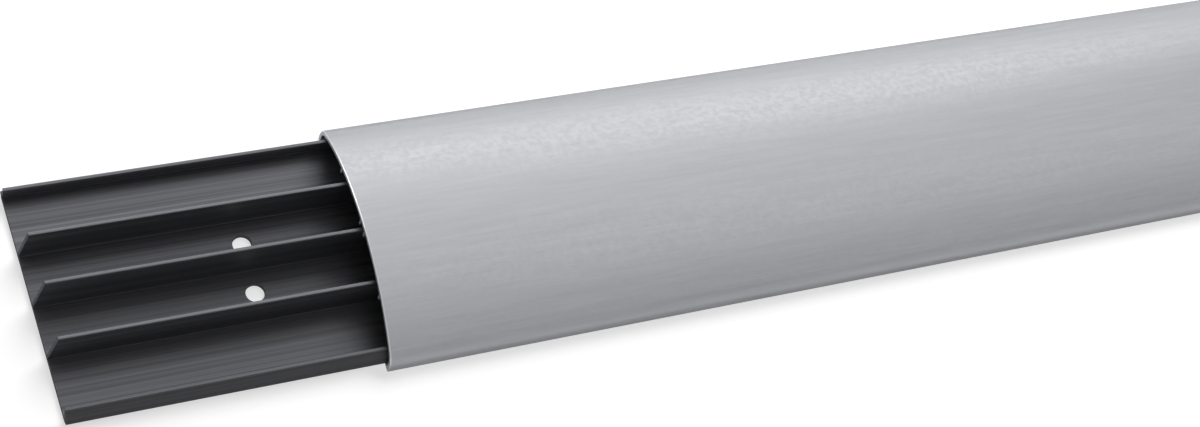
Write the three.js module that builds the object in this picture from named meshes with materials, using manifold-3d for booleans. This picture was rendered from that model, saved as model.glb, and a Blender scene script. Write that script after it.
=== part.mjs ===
// Floor cable duct with a 75 x 18 mm section: a low arched cover clipped over a flat base that
// has four cable channels. Both are extruded profiles, cut to length.
// Millimetres, +Z up, the floor at z = 0 and the run along X. The section is the same on both
// sides of y = 0, and the base stands out bare in front of the cover at the -X end.

import * as THREE from 'three';
import { mergeVertices } from 'three/addons/utils/BufferGeometryUtils.js';
import Module from 'manifold-3d';

const wasm = await Module();
wasm.setup();

// The run
const BASE_LENGTH = 500; // along the longer edge
const BARE_LENGTH = 89.8; // base in front of the cover, on the centre line
const END_SKEW_DEG = 2.5; // the bare end is sawn this much out of square

// The cover's section, outside sizes
const COVER_WIDTH = 75;
const COVER_HEIGHT = 18;
const COVER_WALL = 1.4;
const SHOULDER_RADIUS = 6;
const SIDE_HEIGHT = 2.8; // upright part of the side wall
const FOOT_RADIUS = 0.3;

// Small ribs under the cover: a pair that stands either side of the middle divider, and one
// stiffening rib over each outer channel
const LOCATING_RIB_WALL = 0.9;
const LOCATING_RIB_PLAY = 0.9; // between the rib and the divider
const LOCATING_RIB_LAP = 0.65; // how far it reaches below the divider's top
const STIFFENING_RIB_WALL = 1;
const STIFFENING_RIB_DEPTH = 2;
const STIFFENING_RIB_OFFSET = 20; // from the centre line

// How the cover sits on the base
const SEAT_GAP = 0.3; // over the edge walls, and between the cover's toe and the base's edge
const SIDE_GAP = 0.9; // between the base's edge and the cover's side wall
const TOE_LAP = 0.4; // how far the toe reaches in under the base's edge

// The base's section
const FLOOR_PLATE = 1.4;
const EDGE_UNDERCUT_WIDTH = 1.3;
const EDGE_UNDERCUT_HEIGHT = 1.1;
const EDGE_WALL_LEAN = 1.8; // from the base's edge in to the bead at the wall's top
const EDGE_WALL_TOP = 1.1;
const EDGE_WALL_ROOT = 2;
const BEAD_OVERHANG = 0.35;
const BEAD_DEPTH = 0.55;
const DIVIDER_WALL = 1.2;
const DIVIDER_PITCH = 15.5;
const DIVIDER_HEADROOM = 1.5; // between a divider's top and the cover
const DIVIDER_END_SLOPE_DEG = 10.5; // the dividers' ends lean back from the bare end
const ROOT_FILLET = 0.5;
const TOP_RADIUS = 0.25;

// The screw holes in the floor of the two middle channels
const HOLE_DIAMETER = 5.4;
const HOLE_SPACING = 15.2; // across the run, centre to centre
const HOLE_FROM_END = 59.5;

const CHORD_ERROR = 0.004; // the most that a chord of an arc strays from it
const SAW_MARGIN = 10; // how far a cutting shape stands out past the stock

// Derived sizes of the cover's arch. The crown's arc meets both shoulder arcs smoothly.
const shoulderY = COVER_WIDTH / 2 - SHOULDER_RADIUS;
const shoulderDrop = COVER_HEIGHT - SIDE_HEIGHT;
const crownRadius = (shoulderY ** 2 + shoulderDrop ** 2 - SHOULDER_RADIUS ** 2)
  / (2 * (shoulderDrop - SHOULDER_RADIUS));
const crownZ = COVER_HEIGHT - crownRadius;
const meetingAngle = Math.atan2(SIDE_HEIGHT - crownZ, shoulderY);
const innerCrownRadius = crownRadius - COVER_WALL;
const innerShoulderRadius = SHOULDER_RADIUS - COVER_WALL;
const innerSideY = COVER_WIDTH / 2 - COVER_WALL;

// Derived sizes of the base, which follow the cover
const baseEdgeY = innerSideY - SIDE_GAP;
const edgeWallTopY = baseEdgeY - EDGE_WALL_LEAN;
const edgeWallTopZ = undersideAt(edgeWallTopY) - SEAT_GAP;
const sideDividerTopZ = undersideAt(DIVIDER_PITCH) - DIVIDER_HEADROOM;
const middleDividerTopZ = undersideAt(0) - DIVIDER_HEADROOM;

// Places along the run
const endSkew = THREE.MathUtils.degToRad(END_SKEW_DEG);
const bareEndX = -BASE_LENGTH / 2 + baseEdgeY * Math.tan(endSkew);
const coverStartX = bareEndX + BARE_LENGTH;
const coverLength = BASE_LENGTH / 2 - coverStartX;

// Height of the cover's underside at a distance y from the centre line
function undersideAt(y) {
  if (y < innerCrownRadius * Math.cos(meetingAngle)) {
    return crownZ + Math.sqrt(innerCrownRadius ** 2 - y ** 2);
  }
  return SIDE_HEIGHT + Math.sqrt(innerShoulderRadius ** 2 - (y - shoulderY) ** 2);
}

// Height of the toe's upper face at y: it runs below the base's undercut, SEAT_GAP away from it
function toeTopAt(y) {
  const slope = EDGE_UNDERCUT_HEIGHT / EDGE_UNDERCUT_WIDTH;
  const undercutZ = (y - baseEdgeY + EDGE_UNDERCUT_WIDTH) * slope;
  return undercutZ - SEAT_GAP * Math.hypot(1, slope);
}

// Points [y, z] on a circular arc between two angles
function arc(centreY, centreZ, radius, from, to) {
  const step = 2 * Math.acos(1 - CHORD_ERROR / radius);
  const count = Math.max(2, Math.ceil(Math.abs(to - from) / step));
  return Array.from({ length: count + 1 }, (_, i) => {
    const angle = from + (to - from) * i / count;
    return [centreY + radius * Math.cos(angle), centreZ + radius * Math.sin(angle)];
  });
}

// The arc that rounds a corner between its two neighbours
function roundedCorner([y, z, radius], before, after) {
  const corner = new THREE.Vector2(y, z);
  const back = new THREE.Vector2(before[0], before[1]).sub(corner).normalize();
  const ahead = new THREE.Vector2(after[0], after[1]).sub(corner).normalize();
  const half = back.angleTo(ahead) / 2;
  const tangent = radius / Math.tan(half);
  const centre = back.clone().add(ahead).setLength(radius / Math.sin(half)).add(corner);
  const from = corner.clone().addScaledVector(back, tangent).sub(centre).angle();
  const to = corner.clone().addScaledVector(ahead, tangent).sub(centre).angle();
  const sweep = THREE.MathUtils.euclideanModulo(to - from + Math.PI, 2 * Math.PI) - Math.PI;
  return arc(centre.x, centre.y, radius, from, from + sweep);
}

// A whole section from its +Y half. The half is a list of corners [y, z] or [y, z, radius] that
// runs counter-clockwise and starts and ends at the centre line.
function symmetricSection(half) {
  const mirrored = half.map(([y, z, radius]) => [-y, z, radius]).reverse();
  const corners = [...half, ...mirrored];
  const points = corners.flatMap((corner, i) => {
    const after = corners[(i + 1) % corners.length];
    return corner[2] ? roundedCorner(corner, corners.at(i - 1), after) : [corner];
  });
  const outline = points.map(([y, z]) => new THREE.Vector2(y, z));
  return new THREE.Shape(outline.filter((p, i) => p.distanceTo(outline.at(i - 1)) > 1e-5));
}

// A section in y and z, extruded along +X from x = 0
function extrudeAlongX(section, length) {
  const geometry = new THREE.ExtrudeGeometry(section, { depth: length, bevelEnabled: false });
  const [x, y, z] = [[1, 0, 0], [0, 1, 0], [0, 0, 1]].map((axis) => new THREE.Vector3(...axis));
  return geometry.applyMatrix4(new THREE.Matrix4().makeBasis(y, z, x));
}

// An outline in x and z, extruded across the run and turned and moved to the bare end
function bareEndCutter(corners, halfWidth) {
  const outline = new THREE.Shape(corners.map(([x, z]) => new THREE.Vector2(x, z)));
  const geometry = new THREE.ExtrudeGeometry(outline, { depth: 2 * halfWidth, bevelEnabled: false });
  geometry.rotateX(Math.PI / 2).translate(0, halfWidth, 0);
  return geometry.rotateZ(endSkew).translate(bareEndX, 0, 0);
}

function toSolid(geometry) {
  const bare = geometry.clone();
  bare.deleteAttribute('normal');
  bare.deleteAttribute('uv');
  const merged = mergeVertices(bare);
  return new wasm.Manifold(new wasm.Mesh({
    numProp: 3,
    vertProperties: merged.attributes.position.array,
    triVerts: merged.index.array,
  }));
}

function toGeometry(solid) {
  const { vertProperties, triVerts } = solid.getMesh();
  const geometry = new THREE.BufferGeometry();
  geometry.setAttribute('position', new THREE.BufferAttribute(vertProperties, 3));
  geometry.setIndex(new THREE.BufferAttribute(triVerts, 1));
  return geometry;
}

// The cover: one aluminium extrusion. Its toes turn in under the base's edges and hold it down.
function coverGeometry() {
  const topAngle = Math.PI / 2;
  const underCrown = (fromY, toY) => arc(
    0, crownZ, innerCrownRadius,
    Math.acos(fromY / innerCrownRadius), Math.acos(toY / innerCrownRadius),
  );
  const rib = (innerY, outerY, lowZ) => [
    [innerY, lowZ, TOP_RADIUS],
    [outerY, lowZ, TOP_RADIUS],
  ];
  const locatingY = DIVIDER_WALL / 2 + LOCATING_RIB_PLAY;
  const locatingOuterY = locatingY + LOCATING_RIB_WALL;
  const stiffeningY = STIFFENING_RIB_OFFSET - STIFFENING_RIB_WALL / 2;
  const stiffeningOuterY = STIFFENING_RIB_OFFSET + STIFFENING_RIB_WALL / 2;
  const stiffeningZ = undersideAt(STIFFENING_RIB_OFFSET) - STIFFENING_RIB_DEPTH;
  const toeY = baseEdgeY - TOE_LAP;

  return extrudeAlongX(symmetricSection([
    ...underCrown(0, locatingY),
    ...rib(locatingY, locatingOuterY, middleDividerTopZ - LOCATING_RIB_LAP),
    ...underCrown(locatingOuterY, stiffeningY),
    ...rib(stiffeningY, stiffeningOuterY, stiffeningZ),
    ...underCrown(stiffeningOuterY, innerCrownRadius * Math.cos(meetingAngle)),
    ...arc(shoulderY, SIDE_HEIGHT, innerShoulderRadius, meetingAngle, 0),
    [innerSideY, toeTopAt(innerSideY), FOOT_RADIUS],
    [toeY, toeTopAt(toeY)],
    [toeY, 0],
    [COVER_WIDTH / 2, 0, FOOT_RADIUS],
    ...arc(shoulderY, SIDE_HEIGHT, SHOULDER_RADIUS, 0, meetingAngle),
    ...arc(0, crownZ, crownRadius, meetingAngle, topAngle),
  ]), coverLength);
}

// The base: one rigid PVC extrusion, a floor plate with two edge walls and three dividers
function baseSection() {
  const rootY = baseEdgeY - EDGE_WALL_ROOT;
  const beadInnerY = edgeWallTopY - BEAD_OVERHANG;
  const beadLowZ = edgeWallTopZ - BEAD_DEPTH;
  const divider = (y, topZ) => [
    [y + DIVIDER_WALL / 2, FLOOR_PLATE, ROOT_FILLET],
    [y + DIVIDER_WALL / 2, topZ, TOP_RADIUS],
    [y - DIVIDER_WALL / 2, topZ, TOP_RADIUS],
    [y - DIVIDER_WALL / 2, FLOOR_PLATE, ROOT_FILLET],
  ];
  return symmetricSection([
    [baseEdgeY - EDGE_UNDERCUT_WIDTH, 0],
    [baseEdgeY, EDGE_UNDERCUT_HEIGHT],
    [baseEdgeY, FLOOR_PLATE],
    [beadInnerY, beadLowZ - BEAD_OVERHANG],
    [edgeWallTopY, beadLowZ],
    [edgeWallTopY, edgeWallTopZ, TOP_RADIUS],
    [edgeWallTopY - EDGE_WALL_TOP, edgeWallTopZ, TOP_RADIUS],
    [rootY, FLOOR_PLATE, ROOT_FILLET],
    ...divider(DIVIDER_PITCH, sideDividerTopZ),
    ...divider(0, middleDividerTopZ).slice(0, 2),
  ]);
}

function baseGeometry() {
  let base = toSolid(extrudeAlongX(baseSection(), BASE_LENGTH).translate(-BASE_LENGTH / 2, 0, 0));

  const saw = [[-SAW_MARGIN, -SAW_MARGIN], [0, -SAW_MARGIN], [0, COVER_HEIGHT], [-SAW_MARGIN, COVER_HEIGHT]];
  base = base.subtract(toSolid(bareEndCutter(saw, COVER_WIDTH)));

  const slope = Math.tan(THREE.MathUtils.degToRad(DIVIDER_END_SLOPE_DEG));
  const lean = [
    [-SAW_MARGIN, FLOOR_PLATE],
    [0, FLOOR_PLATE],
    [(COVER_HEIGHT - FLOOR_PLATE) * slope, COVER_HEIGHT],
    [-SAW_MARGIN, COVER_HEIGHT],
  ];
  const betweenWalls = (DIVIDER_PITCH + edgeWallTopY) / 2;
  base = base.subtract(toSolid(bareEndCutter(lean, betweenWalls)));

  for (const x of [bareEndX + HOLE_FROM_END, BASE_LENGTH / 2 - HOLE_FROM_END]) {
    for (const y of [-HOLE_SPACING / 2, HOLE_SPACING / 2]) {
      const drill = new THREE.CylinderGeometry(HOLE_DIAMETER / 2, HOLE_DIAMETER / 2, 4 * FLOOR_PLATE, 48);
      base = base.subtract(toSolid(drill.rotateX(Math.PI / 2).translate(x, y, 0)));
    }
  }
  return toGeometry(base);
}

const pvc = new THREE.MeshStandardMaterial({
  color: '#3b3c40', roughness: 0.45, metalness: 0, flatShading: true,
});
const aluminium = new THREE.MeshStandardMaterial({
  color: '#b9babe', roughness: 0.4, metalness: 0.9, flatShading: true,
});

const base = new THREE.Mesh(baseGeometry(), pvc);
base.name = 'base_profile';

const cover = new THREE.Mesh(coverGeometry(), aluminium);
cover.name = 'cover_profile';
cover.position.x = coverStartX;

const duct = new THREE.Group();
duct.name = 'floor_cable_duct';
duct.add(base, cover);

export default duct;
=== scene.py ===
import math

import bpy
import numpy as np
from mathutils import Matrix, Vector
from mathutils.geometry import delaunay_2d_cdt


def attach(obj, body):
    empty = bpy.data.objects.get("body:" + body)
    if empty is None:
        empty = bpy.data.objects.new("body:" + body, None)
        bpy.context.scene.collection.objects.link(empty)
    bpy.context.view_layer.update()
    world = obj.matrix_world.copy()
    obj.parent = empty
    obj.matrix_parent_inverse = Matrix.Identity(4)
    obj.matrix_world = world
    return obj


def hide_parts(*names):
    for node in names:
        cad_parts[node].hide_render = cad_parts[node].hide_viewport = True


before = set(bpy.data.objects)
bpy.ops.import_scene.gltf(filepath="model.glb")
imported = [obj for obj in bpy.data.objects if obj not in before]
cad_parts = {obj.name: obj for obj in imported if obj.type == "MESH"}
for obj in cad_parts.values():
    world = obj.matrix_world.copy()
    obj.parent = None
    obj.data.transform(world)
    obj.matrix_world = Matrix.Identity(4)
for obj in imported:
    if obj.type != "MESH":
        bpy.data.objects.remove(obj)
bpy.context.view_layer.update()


# Base profile. One extrusion of rigid anthracite PVC: a floor plate with two low edge walls and
# three dividers, which make four cable channels. It is sawn off a little out of square at the
# bare end, and screw holes are punched through the floor of the two middle channels.

BASE_FAR_X = 250.0  # mm, the covered end
BARE_END_X = -248.463  # the bare end, on the centre line
END_SKEW = math.radians(2.5)
DIVIDER_LEAN = math.radians(10.5)  # the dividers' ends lean back from the bare end
LEAN_HALF_WIDTH = 24.45  # the lean ends between the side dividers and the edge walls

FLOOR_Z = 1.4
EDGE_Y = 35.2
UNDERCUT_WIDTH = 1.3  # the edge's underside, for the cover's toe
UNDERCUT_HEIGHT = 1.1
EDGE_WALL_ROOT = 2.0
EDGE_WALL_TOP = 1.1
WALL_TOP_Y = 33.4
WALL_TOP_Z = 6.74
BEAD_OVERHANG = 0.35
BEAD_DEPTH = 0.55
DIVIDER_HALF_WALL = 0.6
SIDE_DIVIDER_Y = 15.5
SIDE_DIVIDER_Z = 13.16
MIDDLE_DIVIDER_Z = 15.1
ROOT_FILLET = 0.25
TOP_RADIUS = 0.25
DIVIDER_TOP_RADIUS = 0.42
SAWN_EDGE = 0.12  # the small bevel that a saw and a cloth leave on a cut edge

HOLE_RADIUS = 2.7
HOLE_RIM = 0.16
HOLE_CORNERS = 48
HOLE_PLACES = [(x, y) for x in (-188.963, 190.5) for y in (-7.6, 7.6)]

PVC_DARK = "#494a4e"
PVC_LIGHT = "#77787d"
# the sawn grey is darker than the drawn surface: painted shade on the end faces, which face away from the
# key
PVC_SAWN_AND_PAINTED_SHADE = "#505155"
# a painted highlight: the paler grey given to the dividers' upward tops
PVC_PAINTED_HIGHLIGHT = "#808186"

METRES = 0.001  # per mm
CHORD_ERROR = 0.002
SAME = 1e-6  # lengths closer than this are one
BROKEN_BEVEL = 0.2  # a wider bevel counts as a deburred edge


def arc_run(centre_y, centre_z, radius, start, end):
    """Points and outward normals on an arc: centre plus radius times (cos a, sin a), with a from
    start to end and no chord further off the arc than the chord error. The normal points away
    from the centre where the outline turns counter-clockwise, and to it elsewhere."""
    step = 2 * math.acos(1 - CHORD_ERROR / radius)
    count = max(3, math.ceil(abs(end - start) / step))
    angle = np.linspace(start, end, count + 1)
    spoke = np.column_stack([np.cos(angle), np.sin(angle)])
    return np.array([centre_y, centre_z]) + radius * spoke, math.copysign(1, end - start) * spoke


def rounded_run(corner, before, after):
    """The arc that rounds a corner (y, z, radius) between its neighbours: its centre lies on the
    bisector at radius / sin(half the angle), and it touches both sides at radius / tan(half the
    angle)."""
    at, radius = np.array(corner[:2]), corner[2]
    back = (before - at) / np.linalg.norm(before - at)
    ahead = (after - at) / np.linalg.norm(after - at)
    half = math.acos(np.clip(back @ ahead, -1, 1)) / 2
    bisector = (back + ahead) / np.linalg.norm(back + ahead)
    centre = at + bisector * radius / math.sin(half)
    first, last = (at + way * radius / math.tan(half) - centre for way in (back, ahead))
    start = math.atan2(first[1], first[0])
    sweep = (math.atan2(last[1], last[0]) - start + math.pi) % (2 * math.pi) - math.pi
    return arc_run(*centre, radius, start, start + sweep)


def whole_section(half):
    """A closed section from its +Y half, counter-clockwise in y and z. An item is a corner
    (y, z), a rounded corner (y, z, radius), or an arc ("arc", y, z, radius, start, end). Returns
    the points, and for the side after each point the outward normals at its two ends."""
    mirrored = [
        ("arc", -i[1], i[2], i[3], math.pi - i[5], math.pi - i[4]) if i[0] == "arc"
        else (-i[0], *i[1:])
        for i in reversed(half)
    ]
    items = [*half, *mirrored]
    runs = [arc_run(*i[1:]) if i[0] == "arc" else None for i in items]
    first = [np.array(i[:2]) if r is None else r[0][0] for i, r in zip(items, runs)]
    last = [np.array(i[:2]) if r is None else r[0][-1] for i, r in zip(items, runs)]
    for n, item in enumerate(items):
        if runs[n] is None and len(item) == 3:
            runs[n] = rounded_run(item, last[n - 1], first[(n + 1) % len(items)])
        elif runs[n] is None:
            runs[n] = np.array([item[:2]]), np.zeros((1, 2))

    points, starts, ends = [], [], []
    for n, (run, normals) in enumerate(runs):
        points += list(run)
        starts += list(normals[:-1])
        ends += list(normals[1:])
        along = runs[(n + 1) % len(runs)][0][0] - run[-1]
        length = np.linalg.norm(along)
        if length < SAME:
            points.pop()
            continue
        straight = np.array([along[1], -along[0]]) / length
        starts.append(straight)
        ends.append(straight)
    return np.array(points), np.array(starts), np.array(ends)


def inset(section, depth):
    """The section moved inwards at each point by depth, along the mitre of its two sides'
    normals: their sum divided by 1 plus their dot product."""
    points, starts, ends = section
    before, after = np.roll(ends, 1, axis=0), starts
    mitre = (before + after) / (1 + (before * after).sum(axis=1, keepdims=True))
    return points - mitre * np.reshape(depth, (-1, 1))


def inside(outline, spots):
    """Which spots (n, 2) are inside a closed outline: those whose ray to the low side crosses it
    an odd number of times."""
    odd = np.zeros(len(spots), bool)
    for a, b in zip(outline, np.roll(outline, -1, axis=0)):
        spans = (a[1] > spots[:, 1]) != (b[1] > spots[:, 1])
        rise = b[1] - a[1] if b[1] != a[1] else 1.0
        odd ^= spans & (spots[:, 0] < a[0] + (spots[:, 1] - a[1]) / rise * (b[0] - a[0]))
    return odd


class Skin:
    """A mesh in the making: points in mm, and faces that have a normal and a place on the
    run-and-girth map at each corner, and a share of sawn surface and of broken edge."""

    def __init__(self):
        """Starts with no points and no faces."""
        self.points = np.empty((0, 3))
        self.faces, self.normals, self.places = [], [], []
        self.sawn, self.broken = [], []

    def add_points(self, points):
        """Adds points (n, 3) and returns their numbers."""
        self.points = np.vstack([self.points, points])
        return np.arange(len(self.points) - len(points), len(self.points))

    def add_faces(self, corners, normals, places, sawn=0.0, broken=0.0):
        """Adds n faces of k corners: point numbers (n, k), normals (n, k, 3), places (n, k, 2)."""
        self.faces += corners.tolist()
        self.normals += normals.reshape(-1, 3).tolist()
        self.places += places.reshape(-1, 2).tolist()
        self.sawn += np.broadcast_to(sawn, len(corners)).tolist()
        self.broken += np.broadcast_to(broken, len(corners)).tolist()

    def fill(self, corners, flat, links, normal, keep, sawn=0.0):
        """Fills a flat patch, whose corners lie at flat (n, 2), with triangles that follow the
        links between them. keep tells from the triangles' middles which are on the patch."""
        _, _, triangles, sources, _, _ = delaunay_2d_cdt(
            [Vector(spot) for spot in flat], links, [], 0, 1e-7
        )
        found = np.array([source[0] for source in sources])[np.array(triangles)]
        found = found[keep(flat[found].mean(axis=1))]
        a, b, c = self.points[corners[found]].transpose(1, 0, 2)
        turned = np.cross(b - a, c - a) @ normal < 0
        found[turned] = found[turned][:, ::-1]
        self.add_faces(corners[found], np.tile(normal, (len(found), 3, 1)), flat[found], sawn)

    def to_object(self, name):
        """Makes the object in metres, with the normals, the map and the shares."""
        mesh = bpy.data.meshes.new(name)
        mesh.from_pydata((self.points * METRES).tolist(), [], self.faces)
        mesh.uv_layers.new(name="run_and_girth").data.foreach_set("uv", np.ravel(self.places) * METRES)
        for share, values in (("sawn", self.sawn), ("broken", self.broken)):
            mesh.attributes.new(share, "FLOAT", "FACE").data.foreach_set("value", values)
        mesh.shade_smooth()
        mesh.normals_split_custom_set(self.normals)
        made = bpy.data.objects.new(name, mesh)
        bpy.context.collection.objects.link(made)
        return made


def extrude(skin, section, bevel, end_xs, skip=()):
    """Carries a section along X between two ends, each with a bevel. end_xs gives the x of each
    end at points (n, 2) of the section, and the sides in skip are left open. A normal leans by
    its x, and the rest of its unit length points out of the section. Returns the point numbers
    of the four rings: bevel, side, side, bevel."""
    points, starts, ends = section
    small = inset(section, bevel)
    count = len(points)
    deburred = np.broadcast_to(bevel, count) > BROKEN_BEVEL
    rings = []
    for outline, x in (
        (small, end_xs[0](small)),
        (points, end_xs[0](small) + bevel),
        (points, end_xs[1](small) - bevel),
        (small, end_xs[1](small)),
    ):
        rings.append(skin.add_points(np.column_stack([np.broadcast_to(x, count), outline])))
    sides = np.linalg.norm(np.roll(points, -1, axis=0) - points, axis=1)
    girth = np.concatenate([[0], np.cumsum(sides)])
    for band, near_lean, far_lean in ((0, -0.75, -0.2), (1, 0.0, 0.0), (2, 0.2, 0.75)):
        near, far = rings[band], rings[band + 1]
        i = np.setdiff1d(np.arange(count), skip if band == 1 else ())
        j = (i + 1) % count
        corners = np.column_stack([near[i], near[j], far[j], far[i]])
        lean = np.broadcast_to([[near_lean], [near_lean], [far_lean], [far_lean]], (len(i), 4, 1))
        straight = np.stack([starts[i], ends[i], ends[i], starts[i]], axis=1)
        normals = np.concatenate([lean, straight * np.sqrt(1 - lean ** 2)], axis=2)
        along = skin.points[corners, 0]
        around = girth[np.column_stack([i, i + 1, i + 1, i])]
        broken = deburred[i] * float(band != 1)
        skin.add_faces(corners, normals, np.stack([along, around], axis=2), broken=broken)
    return rings


def close_end(skin, ring, outline, facing, folds=()):
    """Fills an end's outline with sawn faces that look along facing times X. A fold is a pair of
    ring points between which the saw cut bends."""
    links = [(i, (i + 1) % len(ring)) for i in range(len(ring))] + list(folds)
    normal = np.array([facing, 0, 0])
    skin.fill(ring, outline, links, normal, lambda spots: inside(outline, spots), sawn=1.0)


def base_section():
    """The base's section: floor plate with undercut edges, edge walls with a bead, and three
    dividers."""
    side_in, side_out = SIDE_DIVIDER_Y - DIVIDER_HALF_WALL, SIDE_DIVIDER_Y + DIVIDER_HALF_WALL
    return whole_section([
        (EDGE_Y - UNDERCUT_WIDTH, 0.0), (EDGE_Y, UNDERCUT_HEIGHT), (EDGE_Y, FLOOR_Z),
        (WALL_TOP_Y - BEAD_OVERHANG, WALL_TOP_Z - BEAD_DEPTH - BEAD_OVERHANG),
        (WALL_TOP_Y, WALL_TOP_Z - BEAD_DEPTH),
        (WALL_TOP_Y, WALL_TOP_Z, TOP_RADIUS),
        (WALL_TOP_Y - EDGE_WALL_TOP, WALL_TOP_Z, TOP_RADIUS),
        (EDGE_Y - EDGE_WALL_ROOT, FLOOR_Z, ROOT_FILLET),
        (side_out, FLOOR_Z, ROOT_FILLET), (side_out, SIDE_DIVIDER_Z, DIVIDER_TOP_RADIUS),
        (side_in, SIDE_DIVIDER_Z, DIVIDER_TOP_RADIUS), (side_in, FLOOR_Z, ROOT_FILLET),
        (DIVIDER_HALF_WALL, FLOOR_Z, ROOT_FILLET),
        (DIVIDER_HALF_WALL, MIDDLE_DIVIDER_Z, DIVIDER_TOP_RADIUS),
    ])


def bare_end_x(points):
    """The bare end's saw cut: x falls by tan(skew) for each mm of y, and over the dividers it
    rises by tan(lean) for each mm above the floor plate."""
    y, z = points.T
    above = np.where(abs(y) < LEAN_HALF_WIDTH, np.maximum(z - FLOOR_Z, 0), 0)
    return BARE_END_X - math.tan(END_SKEW) * y + above * math.tan(DIVIDER_LEAN)


def far_end_x(points):
    """The covered end's square cut: the same x at every point."""
    return np.full(len(points), BASE_FAR_X)


def holed_patch(skin, corners, holes, facing):
    """Fills a flat rectangle, given by its four corners' point numbers, round the holes' rings
    of point numbers. Its faces look along facing times Z."""
    loops = [corners, *holes]
    links, first = [], 0
    for loop in loops:
        links += [(first + n, first + (n + 1) % len(loop)) for n in range(len(loop))]
        first += len(loop)
    edges = [skin.points[hole, :2] for hole in holes]
    numbers = np.concatenate(loops)
    skin.fill(
        numbers, skin.points[numbers, :2], links, np.array([0, 0, facing]),
        lambda spots: ~np.any([inside(edge, spots) for edge in edges], axis=0),
    )


skin = Skin()
section = base_section()
y, z = section[0].T
next_y, next_z = np.roll(section[0], -1, axis=0).T
punched = (abs(next_y - y) > 10) & (abs(next_z - z) < SAME) & (abs(y + next_y) / 2 < SIDE_DIVIDER_Y)
channel_floors = np.flatnonzero(punched & (abs(z - FLOOR_Z) < SAME))
underside = np.flatnonzero(punched & (z < SAME))
rings = extrude(
    skin, section, SAWN_EDGE, (bare_end_x, far_end_x), skip=[*channel_floors, *underside],
)

# each hole has three rings of points: the rim's outer edge, its inner edge, and the underside
turns = np.linspace(0, 2 * math.pi, HOLE_CORNERS, endpoint=False)
circle = np.column_stack([np.cos(turns), np.sin(turns)])
hole_rings = []
for place in HOLE_PLACES:
    rim, wall, foot = (
        skin.add_points(np.column_stack([place + radius * circle, np.full(HOLE_CORNERS, level)]))
        for radius, level in (
            (HOLE_RADIUS + HOLE_RIM, FLOOR_Z), (HOLE_RADIUS, FLOOR_Z - HOLE_RIM), (HOLE_RADIUS, 0.0)
        )
    )
    hole_rings.append((rim, wall, foot))
    for upper, lower, rise in ((rim, wall, 0.7), (wall, foot, 0.0)):
        inward = np.column_stack([-circle * (1 - rise), np.full(HOLE_CORNERS, rise)])
        inward /= np.linalg.norm(inward, axis=1, keepdims=True)
        after = np.roll(inward, -1, axis=0)
        around = np.arange(HOLE_CORNERS) / 3
        top, bottom = np.zeros(HOLE_CORNERS), np.ones(HOLE_CORNERS)
        skin.add_faces(
            np.column_stack([upper, np.roll(upper, -1), np.roll(lower, -1), lower]),
            np.stack([inward, after, after, inward], axis=1),
            np.stack([
                np.column_stack([around, around + 1 / 3, around + 1 / 3, around]),
                np.column_stack([top, top, bottom, bottom]),
            ], axis=2),
            sawn=0.5,
        )

for sides, facing, ring in ((channel_floors, 1.0, 0), (underside, -1.0, 2)):
    for i in sides:
        j = (i + 1) % len(y)
        low, high = sorted((y[i], y[j]))
        holes = [made[ring] for at, made in zip(HOLE_PLACES, hole_rings) if low < at[1] < high]
        holed_patch(skin, np.array([rings[1][i], rings[2][i], rings[2][j], rings[1][j]]), holes, facing)

# the bare end's cut bends where each divider stands on the floor plate
folds = [
    [int(np.hypot(y - (at + side * (DIVIDER_HALF_WALL + ROOT_FILLET)), z - FLOOR_Z).argmin())
     for side in (-1, 1)]
    for at in (-SIDE_DIVIDER_Y, 0.0, SIDE_DIVIDER_Y)
]
small = inset(section, SAWN_EDGE)
close_end(skin, rings[0], small, -1.0, folds)
close_end(skin, rings[3], small, 1.0)
base_profile = skin.to_object("base_profile_extrusion")

# the dividers' tops, which look up from above 8 mm, get a paler colour: a painted highlight along the top
# edges
mesh = base_profile.data
facing, middle = np.empty((len(mesh.polygons), 3)), np.empty((len(mesh.polygons), 3))
mesh.polygons.foreach_get("normal", facing.ravel())
mesh.polygons.foreach_get("center", middle.ravel())
tops = (facing[:, 2] > 0.88) & (middle[:, 2] > 0.008)
mesh.attributes.new("painted_top_highlight", "FLOAT", "FACE").data.foreach_set("value", tops.astype(float))


def linear(code):
    """An sRGB hex colour as linear RGBA: a channel c is c / 12.92 near black, and
    ((c + 0.055) / 1.055) to the power 2.4 above."""
    channels = [int(code[i:i + 2], 16) / 255 for i in (1, 3, 5)]
    return [c / 12.92 if c <= 0.04045 else ((c + 0.055) / 1.055) ** 2.4 for c in channels] + [1.0]


def add_node(tree, kind, inputs=None, **settings):
    """Adds a node with its settings. An input is either linked from a socket or set to a value."""
    made = tree.nodes.new(kind)
    for key, value in settings.items():
        setattr(made, key, value)
    for key, value in (inputs or {}).items():
        if isinstance(value, bpy.types.NodeSocket):
            tree.links.new(value, made.inputs[key])
        else:
            made.inputs[key].default_value = value
    return made


def new_material(name):
    """An empty node material and its tree."""
    material = bpy.data.materials.new(name)
    material.use_nodes = True
    material.node_tree.nodes.clear()
    return material, material.node_tree


def lengthwise_noise(tree, along, across, detail=2.0):
    """Noise on the run-and-girth map, drawn out along the run: its features are 1000 / along mm
    long and 1000 / across mm wide."""
    place = add_node(tree, "ShaderNodeUVMap", uv_map="run_and_girth").outputs["UV"]
    spread = add_node(tree, "ShaderNodeMapping", {"Vector": place, "Scale": (along, across, 1.0)})
    noise = add_node(tree, "ShaderNodeTexNoise", {
        "Vector": spread.outputs["Vector"], "Scale": 1.0, "Detail": detail, "Roughness": 0.6,
    }, noise_dimensions="2D")
    return noise.outputs[0]


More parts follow.
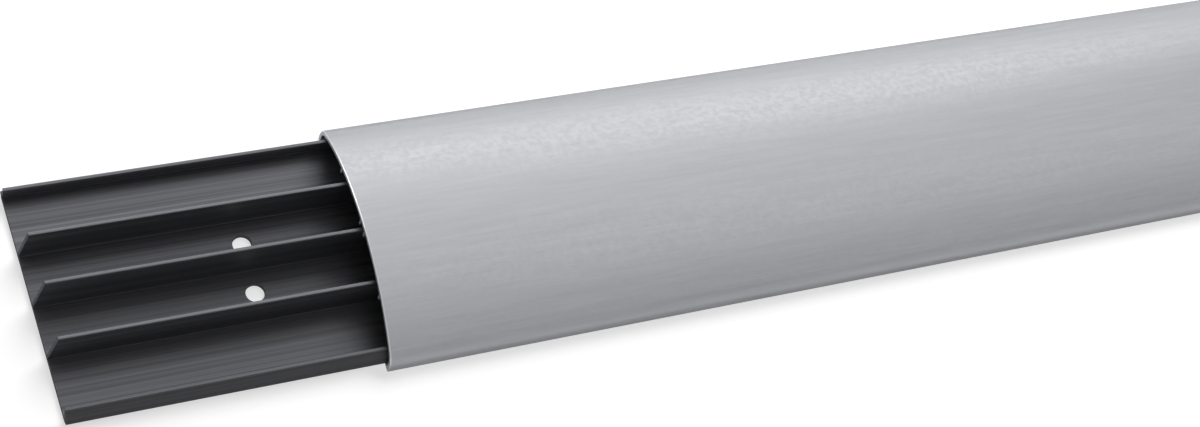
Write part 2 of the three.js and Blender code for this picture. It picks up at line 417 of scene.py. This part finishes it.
def even_noise(tree, scale, detail=3.0):
    """Noise in the object's own space, whose features are 1000 / scale mm across."""
    place = add_node(tree, "ShaderNodeTexCoord").outputs["Object"]
    noise = add_node(tree, "ShaderNodeTexNoise", {"Vector": place, "Scale": scale, "Detail": detail})
    return noise.outputs[0]


def share_of(tree, name):
    """A face's share of a kind of surface, from 0 to 1."""
    return add_node(tree, "ShaderNodeAttribute", attribute_name=name).outputs["Fac"]


def ranged(tree, value, low, high, from_low=0.3, from_high=0.7):
    """The value carried from one range to another, held at the ends."""
    made = add_node(tree, "ShaderNodeMapRange", {
        "Value": value, "From Min": from_low, "From Max": from_high, "To Min": low, "To Max": high,
    })
    return made.outputs["Result"]


def maths(tree, operation, a, b):
    """The result of one operation on two values."""
    return add_node(tree, "ShaderNodeMath", {0: a, 1: b}, operation=operation).outputs[0]


def weighed(tree, *pairs):
    """The sum of each value times its weight, for pairs of value and weight."""
    parts = [maths(tree, "MULTIPLY", value, weight) for value, weight in pairs]
    total = parts[0]
    for part in parts[1:]:
        total = maths(tree, "ADD", total, part)
    return total


def mixed(tree, share, a, b):
    """Colour a where share is 0, colour b where it is 1."""
    made = add_node(tree, "ShaderNodeMix", {0: share, 6: a, 7: b}, data_type="RGBA")
    return made.outputs[2]


# What gives the eye PVC: an even dark grey with a soft sheen, drawn out by the die in bands of
# about 2 mm and in hair lines, with the dividers' tops painted paler as a painted highlight, and a
# rougher face where the saw went through, whose grey is set darker as painted shade on the ends.
# Real die lines are finer, and the hair lines are 0.4 mm wide so that they show.
pvc, tree = new_material("rigid_pvc_anthracite")
bands = lengthwise_noise(tree, 1.5, 520, detail=3.0)
hair_lines = lengthwise_noise(tree, 6, 2600, detail=3.0)
grain = even_noise(tree, 1600)  # 0.6 mm
clouds = even_noise(tree, 22)  # 45 mm
saw_marks = lengthwise_noise(tree, 260, 2400)  # 0.4 mm apart
sawn, painted_top_highlight = share_of(tree, "sawn"), share_of(tree, "painted_top_highlight")
tone = weighed(tree, (bands, 0.65), (hair_lines, 0.35))
drawn = mixed(tree, ranged(tree, tone, 0.0, 1.0, 0.35, 0.65), linear(PVC_DARK), linear(PVC_LIGHT))
# painted highlight: the upward tops are mixed towards a paler grey
highlighted_tops = mixed(tree, maths(tree, "MULTIPLY", painted_top_highlight, 0.8), drawn, linear(PVC_PAINTED_HIGHLIGHT))
# painted shade: sawn faces take a darker grey than the drawn surface
colour = mixed(tree, sawn, highlighted_tops, linear(PVC_SAWN_AND_PAINTED_SHADE))
gloss = maths(tree, "ADD", ranged(tree, tone, 0.38, 0.52), ranged(tree, clouds, -0.03, 0.03))
roughness = maths(tree, "ADD", gloss, maths(tree, "MULTIPLY", sawn, 0.2))
sawn_relief = maths(tree, "MULTIPLY", saw_marks, sawn)
height = weighed(tree, (hair_lines, 0.7), (grain, 0.3), (sawn_relief, 2.0))
bump = add_node(tree, "ShaderNodeBump", {"Height": height, "Strength": 0.5, "Distance": 0.00004})
shader = add_node(tree, "ShaderNodeBsdfPrincipled", {
    "Base Color": colour, "Roughness": roughness, "Normal": bump.outputs["Normal"], "IOR": 1.53,
})
add_node(tree, "ShaderNodeOutputMaterial", {"Surface": shader.outputs["BSDF"]})

base_profile.data.materials.append(pvc)
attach(base_profile, "root")
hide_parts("base_profile")


# Cover profile. One aluminium extrusion, satin natural anodised: a low crown between two tight
# shoulders, whose toes turn in under the base's edges. Small ribs under it locate it on the
# middle divider and stiffen it. It is sawn square and is shorter than the base.

COVER_START_X = -158.663
COVER_FAR_X = 250.0
COVER_HALF_WIDTH = 37.5
COVER_HEIGHT = 18.0
COVER_WALL = 1.4
SHOULDER_RADIUS = 6.0
SIDE_HEIGHT = 2.8
RIB_TIP_RADIUS = 0.25
LOCATING_RIB = (1.5, 2.4, MIDDLE_DIVIDER_Z - 0.65)  # inner y, outer y, lowest z
STIFFENING_RIB = (19.5, 20.5, 11.37)
TOE_Y = 34.8
TOE_TOP = 0.368  # at the toe's tip
TOE_ROOT = 1.468  # at the side wall
FOOT_RADIUS = 0.3
OUTER_BEVEL = 0.28
INNER_BEVEL = 0.10

ALUMINIUM = "#c3c4c8"
ALUMINIUM_SHADE = "#b6b7bb"
ALUMINIUM_SAWN = "#c4c5c8"
ALUMINIUM_BROKEN = "#e6e7ea"  # the deburred edge

shoulder_y = COVER_HALF_WIDTH - SHOULDER_RADIUS
drop = COVER_HEIGHT - SIDE_HEIGHT
crown_radius = (shoulder_y ** 2 + drop ** 2 - SHOULDER_RADIUS ** 2) / (2 * (drop - SHOULDER_RADIUS))
crown_z = COVER_HEIGHT - crown_radius
meeting = math.atan2(SIDE_HEIGHT - crown_z, shoulder_y)
inner_crown = crown_radius - COVER_WALL


def under_crown(from_y, to_y):
    """The underside's arc between two distances from the centre line."""
    start, end = (math.acos(y / inner_crown) for y in (from_y, to_y))
    return ("arc", 0.0, crown_z, inner_crown, start, end)


def cover_section():
    """The cover's section: the underside with its ribs from the centre line out, the inner
    shoulder, the toe, the foot, the outer shoulder and the crown back to the centre line."""
    inner_y, outer_y, tip_z = LOCATING_RIB
    stiff_in, stiff_out, stiff_z = STIFFENING_RIB
    side_y = COVER_HALF_WIDTH - COVER_WALL
    return whole_section([
        under_crown(0.0, inner_y),
        (inner_y, tip_z, RIB_TIP_RADIUS), (outer_y, tip_z, RIB_TIP_RADIUS),
        under_crown(outer_y, stiff_in),
        (stiff_in, stiff_z, RIB_TIP_RADIUS), (stiff_out, stiff_z, RIB_TIP_RADIUS),
        under_crown(stiff_out, inner_crown * math.cos(meeting)),
        ("arc", shoulder_y, SIDE_HEIGHT, SHOULDER_RADIUS - COVER_WALL, meeting, 0.0),
        (side_y, TOE_ROOT, FOOT_RADIUS), (TOE_Y, TOE_TOP), (TOE_Y, 0.0),
        (COVER_HALF_WIDTH, 0.0, FOOT_RADIUS),
        ("arc", shoulder_y, SIDE_HEIGHT, SHOULDER_RADIUS, 0.0, meeting),
        ("arc", 0.0, crown_z, crown_radius, meeting, math.pi / 2),
    ])


skin = Skin()
section = cover_section()
y, z = section[0].T
on_crown = abs(np.hypot(y, z - crown_z) - crown_radius) < 0.01
on_shoulder = abs(np.hypot(abs(y) - shoulder_y, z - SIDE_HEIGHT) - SHOULDER_RADIUS) < 0.01
outer = on_crown | (on_shoulder & (abs(y) > shoulder_y) & (z > SIDE_HEIGHT))
bevel = np.where(outer, OUTER_BEVEL, INNER_BEVEL)
rings = extrude(
    skin, section, bevel,
    (lambda points: np.full(len(points), COVER_START_X), lambda points: np.full(len(points), COVER_FAR_X)),
)
small = inset(section, bevel)
close_end(skin, rings[0], small, -1.0)
close_end(skin, rings[3], small, 1.0)
cover_profile = skin.to_object("cover_profile_extrusion")

# What gives the eye satin anodised aluminium: a soft wide highlight across the arch, broken by
# short die lines 1.6 mm and 0.3 mm wide and by a mottling of 1.5 mm that shows in it, and a
# grey sawn end with a bright deburred edge. All are drawn as coarse as they need to show.
satin, tree = new_material("aluminium_satin_anodised")
bands = lengthwise_noise(tree, 26, 620, detail=3.0)
hair_lines = lengthwise_noise(tree, 60, 3400, detail=3.0)
mottling = even_noise(tree, 660, detail=4.0)
saw_marks = lengthwise_noise(tree, 300, 3000)
sawn, broken = share_of(tree, "sawn"), share_of(tree, "broken")
tone = weighed(tree, (bands, 0.35), (hair_lines, 0.3), (mottling, 0.35))
shade, light = linear(ALUMINIUM_SHADE), linear(ALUMINIUM)
drawn = mixed(tree, ranged(tree, tone, 0.0, 1.0, 0.35, 0.65), shade, light)
cut = mixed(tree, sawn, drawn, linear(ALUMINIUM_SAWN))
colour = mixed(tree, broken, cut, linear(ALUMINIUM_BROKEN))
uneven = ranged(tree, mottling, -0.045, 0.045, 0.41, 0.59)
gloss = maths(tree, "ADD", ranged(tree, tone, 0.455, 0.505), uneven)
matt = maths(tree, "ADD", gloss, maths(tree, "MULTIPLY", sawn, 0.15))
roughness = maths(tree, "SUBTRACT", matt, maths(tree, "MULTIPLY", broken, 0.14))
sawn_relief = maths(tree, "MULTIPLY", maths(tree, "MULTIPLY", saw_marks, sawn), 3.0)
height = maths(tree, "ADD", hair_lines, sawn_relief)
bump = add_node(tree, "ShaderNodeBump", {"Height": height, "Strength": 0.4, "Distance": 0.00002})
shader = add_node(tree, "ShaderNodeBsdfPrincipled", {
    "Base Color": colour, "Metallic": 1.0, "Roughness": roughness, "Normal": bump.outputs["Normal"],
})
add_node(tree, "ShaderNodeOutputMaterial", {"Surface": shader.outputs["BSDF"]})

cover_profile.data.materials.append(satin)
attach(cover_profile, "root")
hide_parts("cover_profile")


# Floor. A plain matt studio floor that takes the duct's soft shadow. The camera sees it lifted
# to white, and reflections see it lifted less.

FLOOR_HALF = 4.0  # m
FLOOR_BELOW = 0.0001  # just under the duct
FLOOR_COLOUR = "#bcbcbc"
FLOOR_LIFT = 0.66  # added for the camera, to which the floor is the white background
MIRRORED_LIFT = 0.29  # added for reflections

WHITE = (1.0, 1.0, 1.0, 1.0)

mesh = bpy.data.meshes.new("studio_floor")
corners = [(x * FLOOR_HALF, y * FLOOR_HALF, -FLOOR_BELOW) for x, y in ((-1, -1), (1, -1), (1, 1), (-1, 1))]
mesh.from_pydata(corners, [], [(0, 1, 2, 3)])
studio_floor = bpy.data.objects.new("studio_floor", mesh)
bpy.context.collection.objects.link(studio_floor)

floor_paint, tree = new_material("studio_floor_matt")
rays = add_node(tree, "ShaderNodeLightPath").outputs
mirrored = maths(tree, "MAXIMUM", rays["Is Glossy Ray"], rays["Is Transmission Ray"])
added = weighed(tree, (rays["Is Camera Ray"], FLOOR_LIFT), (mirrored, MIRRORED_LIFT))
matt = add_node(tree, "ShaderNodeBsdfDiffuse", {"Color": linear(FLOOR_COLOUR)})
lift = add_node(tree, "ShaderNodeEmission", {"Color": WHITE, "Strength": added})
total = add_node(tree, "ShaderNodeAddShader", {0: matt.outputs[0], 1: lift.outputs[0]})
add_node(tree, "ShaderNodeOutputMaterial", {"Surface": total.outputs[0]})
studio_floor.data.materials.append(floor_paint)


# Light. A dim world, white to the camera and mid grey to reflections, and four soft boxes. The
# key lights the floor and the channels from behind on the covered side, so that the channels'
# walls and the floor under the cover's edge stay dark. The other three are seen only in
# reflections: behind and overhead for the highlight along the arch, left for the cut edge.

WORLD_LEVEL = 0.03
MIRRORED_WORLD_LEVEL = 0.54
SEEN_WORLD_LEVEL = 1.0

world = bpy.data.worlds.new("studio_world")
bpy.context.scene.world = world
world.use_nodes = True
tree = world.node_tree
tree.nodes.clear()
rays = add_node(tree, "ShaderNodeLightPath").outputs
dim, grey, plain = (
    add_node(tree, "ShaderNodeBackground", {"Color": WHITE, "Strength": level}).outputs[0]
    for level in (WORLD_LEVEL, MIRRORED_WORLD_LEVEL, SEEN_WORLD_LEVEL)
)
mirrored = maths(tree, "MAXIMUM", rays["Is Glossy Ray"], rays["Is Transmission Ray"])
lit = add_node(tree, "ShaderNodeMixShader", {0: mirrored, 1: dim, 2: grey})
both = add_node(tree, "ShaderNodeMixShader", {0: rays["Is Camera Ray"], 1: lit.outputs[0], 2: plain})
add_node(tree, "ShaderNodeOutputWorld", {"Surface": both.outputs[0]})


def soft_box(name, place, width, height, radiance):
    """A rectangular lamp that faces the origin. Its power is radiance times pi times its area."""
    lamp = bpy.data.lights.new(name, "AREA")
    lamp.shape = "RECTANGLE"
    lamp.size, lamp.size_y = width, height
    lamp.energy = radiance * math.pi * width * height
    made = bpy.data.objects.new(name, lamp)
    made.location = place
    made.rotation_euler = (-Vector(place)).to_track_quat("-Z", "Y").to_euler()
    bpy.context.collection.objects.link(made)
    return made


key = soft_box("soft_box_above", (0.95, 1.2, 1.6), 1.8, 1.5, 7.9)
key.visible_glossy = False
for name, place, width, height, radiance in (
    ("soft_box_behind", (0.75, 2.1, 1.1), 2.4, 1.2, 1.4),
    ("soft_box_overhead", (0.7, 0.3, 1.9), 2.6, 2.0, 0.48),
    ("soft_box_left", (-1.2, 1.5, 1.2), 1.1, 1.1, 2.8),
):
    soft_box(name, place, width, height, radiance).visible_diffuse = False


# Camera. Solved from the photograph: it looks down along the run from in front of the bare end.

CAMERA_PLACE = (-0.32287, -0.23531, 0.54293)
CAMERA_RIGHT = (0.91248, -0.30379, 0.27404)
CAMERA_UP = (0.15784, 0.87936, 0.44924)
CAMERA_BACK = (-0.37745, -0.36667, 0.85034)

camera_data = bpy.data.cameras.new("photo_camera")
camera_data.sensor_fit = "HORIZONTAL"
camera_data.sensor_width = 36.0
camera_data.lens = 64.435
camera_data.clip_start = 0.01
camera = bpy.data.objects.new("photo_camera", camera_data)
turn = Matrix((CAMERA_RIGHT, CAMERA_UP, CAMERA_BACK)).transposed().to_4x4()
camera.matrix_world = Matrix.Translation(CAMERA_PLACE) @ turn
bpy.context.collection.objects.link(camera)
bpy.context.scene.camera = camera
bpy.context.scene.view_settings.view_transform = "Standard"
